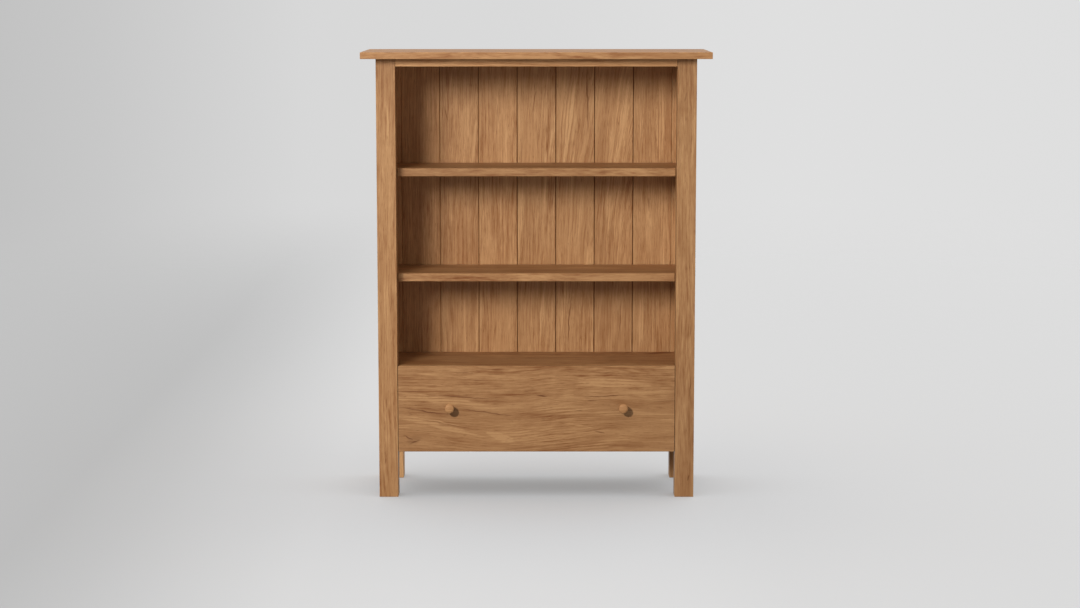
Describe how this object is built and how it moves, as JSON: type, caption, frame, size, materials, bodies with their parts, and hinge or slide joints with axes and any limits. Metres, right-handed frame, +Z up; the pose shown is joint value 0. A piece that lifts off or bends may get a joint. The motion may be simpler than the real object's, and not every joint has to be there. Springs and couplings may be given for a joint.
{
  "type": "bookcase with drawer",
  "caption": "Free-standing timber bookcase with a boarded back, adjustable shelves and a wide inset drawer on telescopic slides.",
  "frame": {"origin": "on the floor, at the middle of the bounding box of the closed bookcase", "axes": "+Z up, +Y towards the wall behind it, +X to the right of someone facing the front"},
  "size_m": [0.942, 0.344, 1.219],
  "materials": {
    "case_wood": "mid-brown stain under semi-gloss lacquer",
    "box_wood": "pale, clear lacquered",
    "slide_steel": "bright zinc plated",
    "zinc_screw": "bright zinc plated",
    "shelf_pin_brass": "satin brass"
  },
  "bodies": {
    "cabinet": {"top": "case_wood", "deck": "case_wood", "front_left_post": "case_wood", "rear_left_post": "case_wood", "left_side_panel": "case_wood", "left_top_cleat": "box_wood", "left_slide_batten": "box_wood", "front_right_post": "case_wood", "rear_right_post": "case_wood", "right_side_panel": "case_wood", "right_top_cleat": "box_wood", "right_slide_batten": "box_wood", "front_top_rail": "case_wood", "front_bottom_rail": "case_wood", "rear_top_rail": "case_wood", "rear_middle_rail": "case_wood", "rear_bottom_rail": "case_wood", "back_board_1": "case_wood", "back_board_2": "case_wood", "back_board_3": "case_wood", "back_board_4": "case_wood", "back_board_5": "case_wood", "back_board_6": "case_wood", "back_board_7": "case_wood", "lower_shelf": "case_wood", "upper_shelf": "case_wood", "lower_shelf_pin_front_left": "shelf_pin_brass", "lower_shelf_pin_front_right": "shelf_pin_brass", "lower_shelf_pin_rear_left": "shelf_pin_brass", "lower_shelf_pin_rear_right": "shelf_pin_brass", "upper_shelf_pin_front_left": "shelf_pin_brass", "upper_shelf_pin_front_right": "shelf_pin_brass", "upper_shelf_pin_rear_left": "shelf_pin_brass", "upper_shelf_pin_rear_right": "shelf_pin_brass", "left_slide_cabinet_channel": "slide_steel", "right_slide_cabinet_channel": "slide_steel"},
    "drawer": {"drawer_front": "case_wood", "drawer_box_front": "box_wood", "drawer_box_back": "box_wood", "drawer_bottom": "box_wood", "drawer_left_side": "box_wood", "left_knob": "case_wood", "left_knob_screw": "zinc_screw", "left_slide_drawer_channel": "slide_steel", "front_screw_upper_left": "zinc_screw", "front_screw_lower_left": "zinc_screw", "drawer_right_side": "box_wood", "right_knob": "case_wood", "right_knob_screw": "zinc_screw", "right_slide_drawer_channel": "slide_steel", "front_screw_upper_right": "zinc_screw", "front_screw_lower_right": "zinc_screw"},
    "left_slide_middle_channel": {"left_slide_middle_channel": "slide_steel"},
    "left_slide_outer_cage": {"left_slide_outer_cage": "slide_steel"},
    "left_slide_inner_cage": {"left_slide_inner_cage": "slide_steel"},
    "right_slide_middle_channel": {"right_slide_middle_channel": "slide_steel"},
    "right_slide_outer_cage": {"right_slide_outer_cage": "slide_steel"},
    "right_slide_inner_cage": {"right_slide_inner_cage": "slide_steel"}
  },
  "joints": [
    {"name": "drawer_slide", "type": "slide", "parent": "cabinet", "child": "drawer", "axis": [0, -1, 0], "range_m": [0, 0.22]},
    {"name": "left_middle_channel_slide", "type": "slide", "parent": "cabinet", "child": "left_slide_middle_channel", "axis": [0, -1, 0], "range_m": [0, 0.11]},
    {"name": "left_outer_cage_slide", "type": "slide", "parent": "cabinet", "child": "left_slide_outer_cage", "axis": [0, -1, 0], "range_m": [0, 0.055]},
    {"name": "left_inner_cage_slide", "type": "slide", "parent": "cabinet", "child": "left_slide_inner_cage", "axis": [0, -1, 0], "range_m": [0, 0.165]},
    {"name": "right_middle_channel_slide", "type": "slide", "parent": "cabinet", "child": "right_slide_middle_channel", "axis": [0, -1, 0], "range_m": [0, 0.11]},
    {"name": "right_outer_cage_slide", "type": "slide", "parent": "cabinet", "child": "right_slide_outer_cage", "axis": [0, -1, 0], "range_m": [0, 0.055]},
    {"name": "right_inner_cage_slide", "type": "slide", "parent": "cabinet", "child": "right_slide_inner_cage", "axis": [0, -1, 0], "range_m": [0, 0.165]}
  ],
  "couplings": [
    {"joint": "left_middle_channel_slide", "follows": "drawer_slide", "ratio": 0.5},
    {"joint": "left_outer_cage_slide", "follows": "drawer_slide", "ratio": 0.25},
    {"joint": "left_inner_cage_slide", "follows": "drawer_slide", "ratio": 0.75},
    {"joint": "right_middle_channel_slide", "follows": "drawer_slide", "ratio": 0.5},
    {"joint": "right_outer_cage_slide", "follows": "drawer_slide", "ratio": 0.25},
    {"joint": "right_inner_cage_slide", "follows": "drawer_slide", "ratio": 0.75}
  ]
}
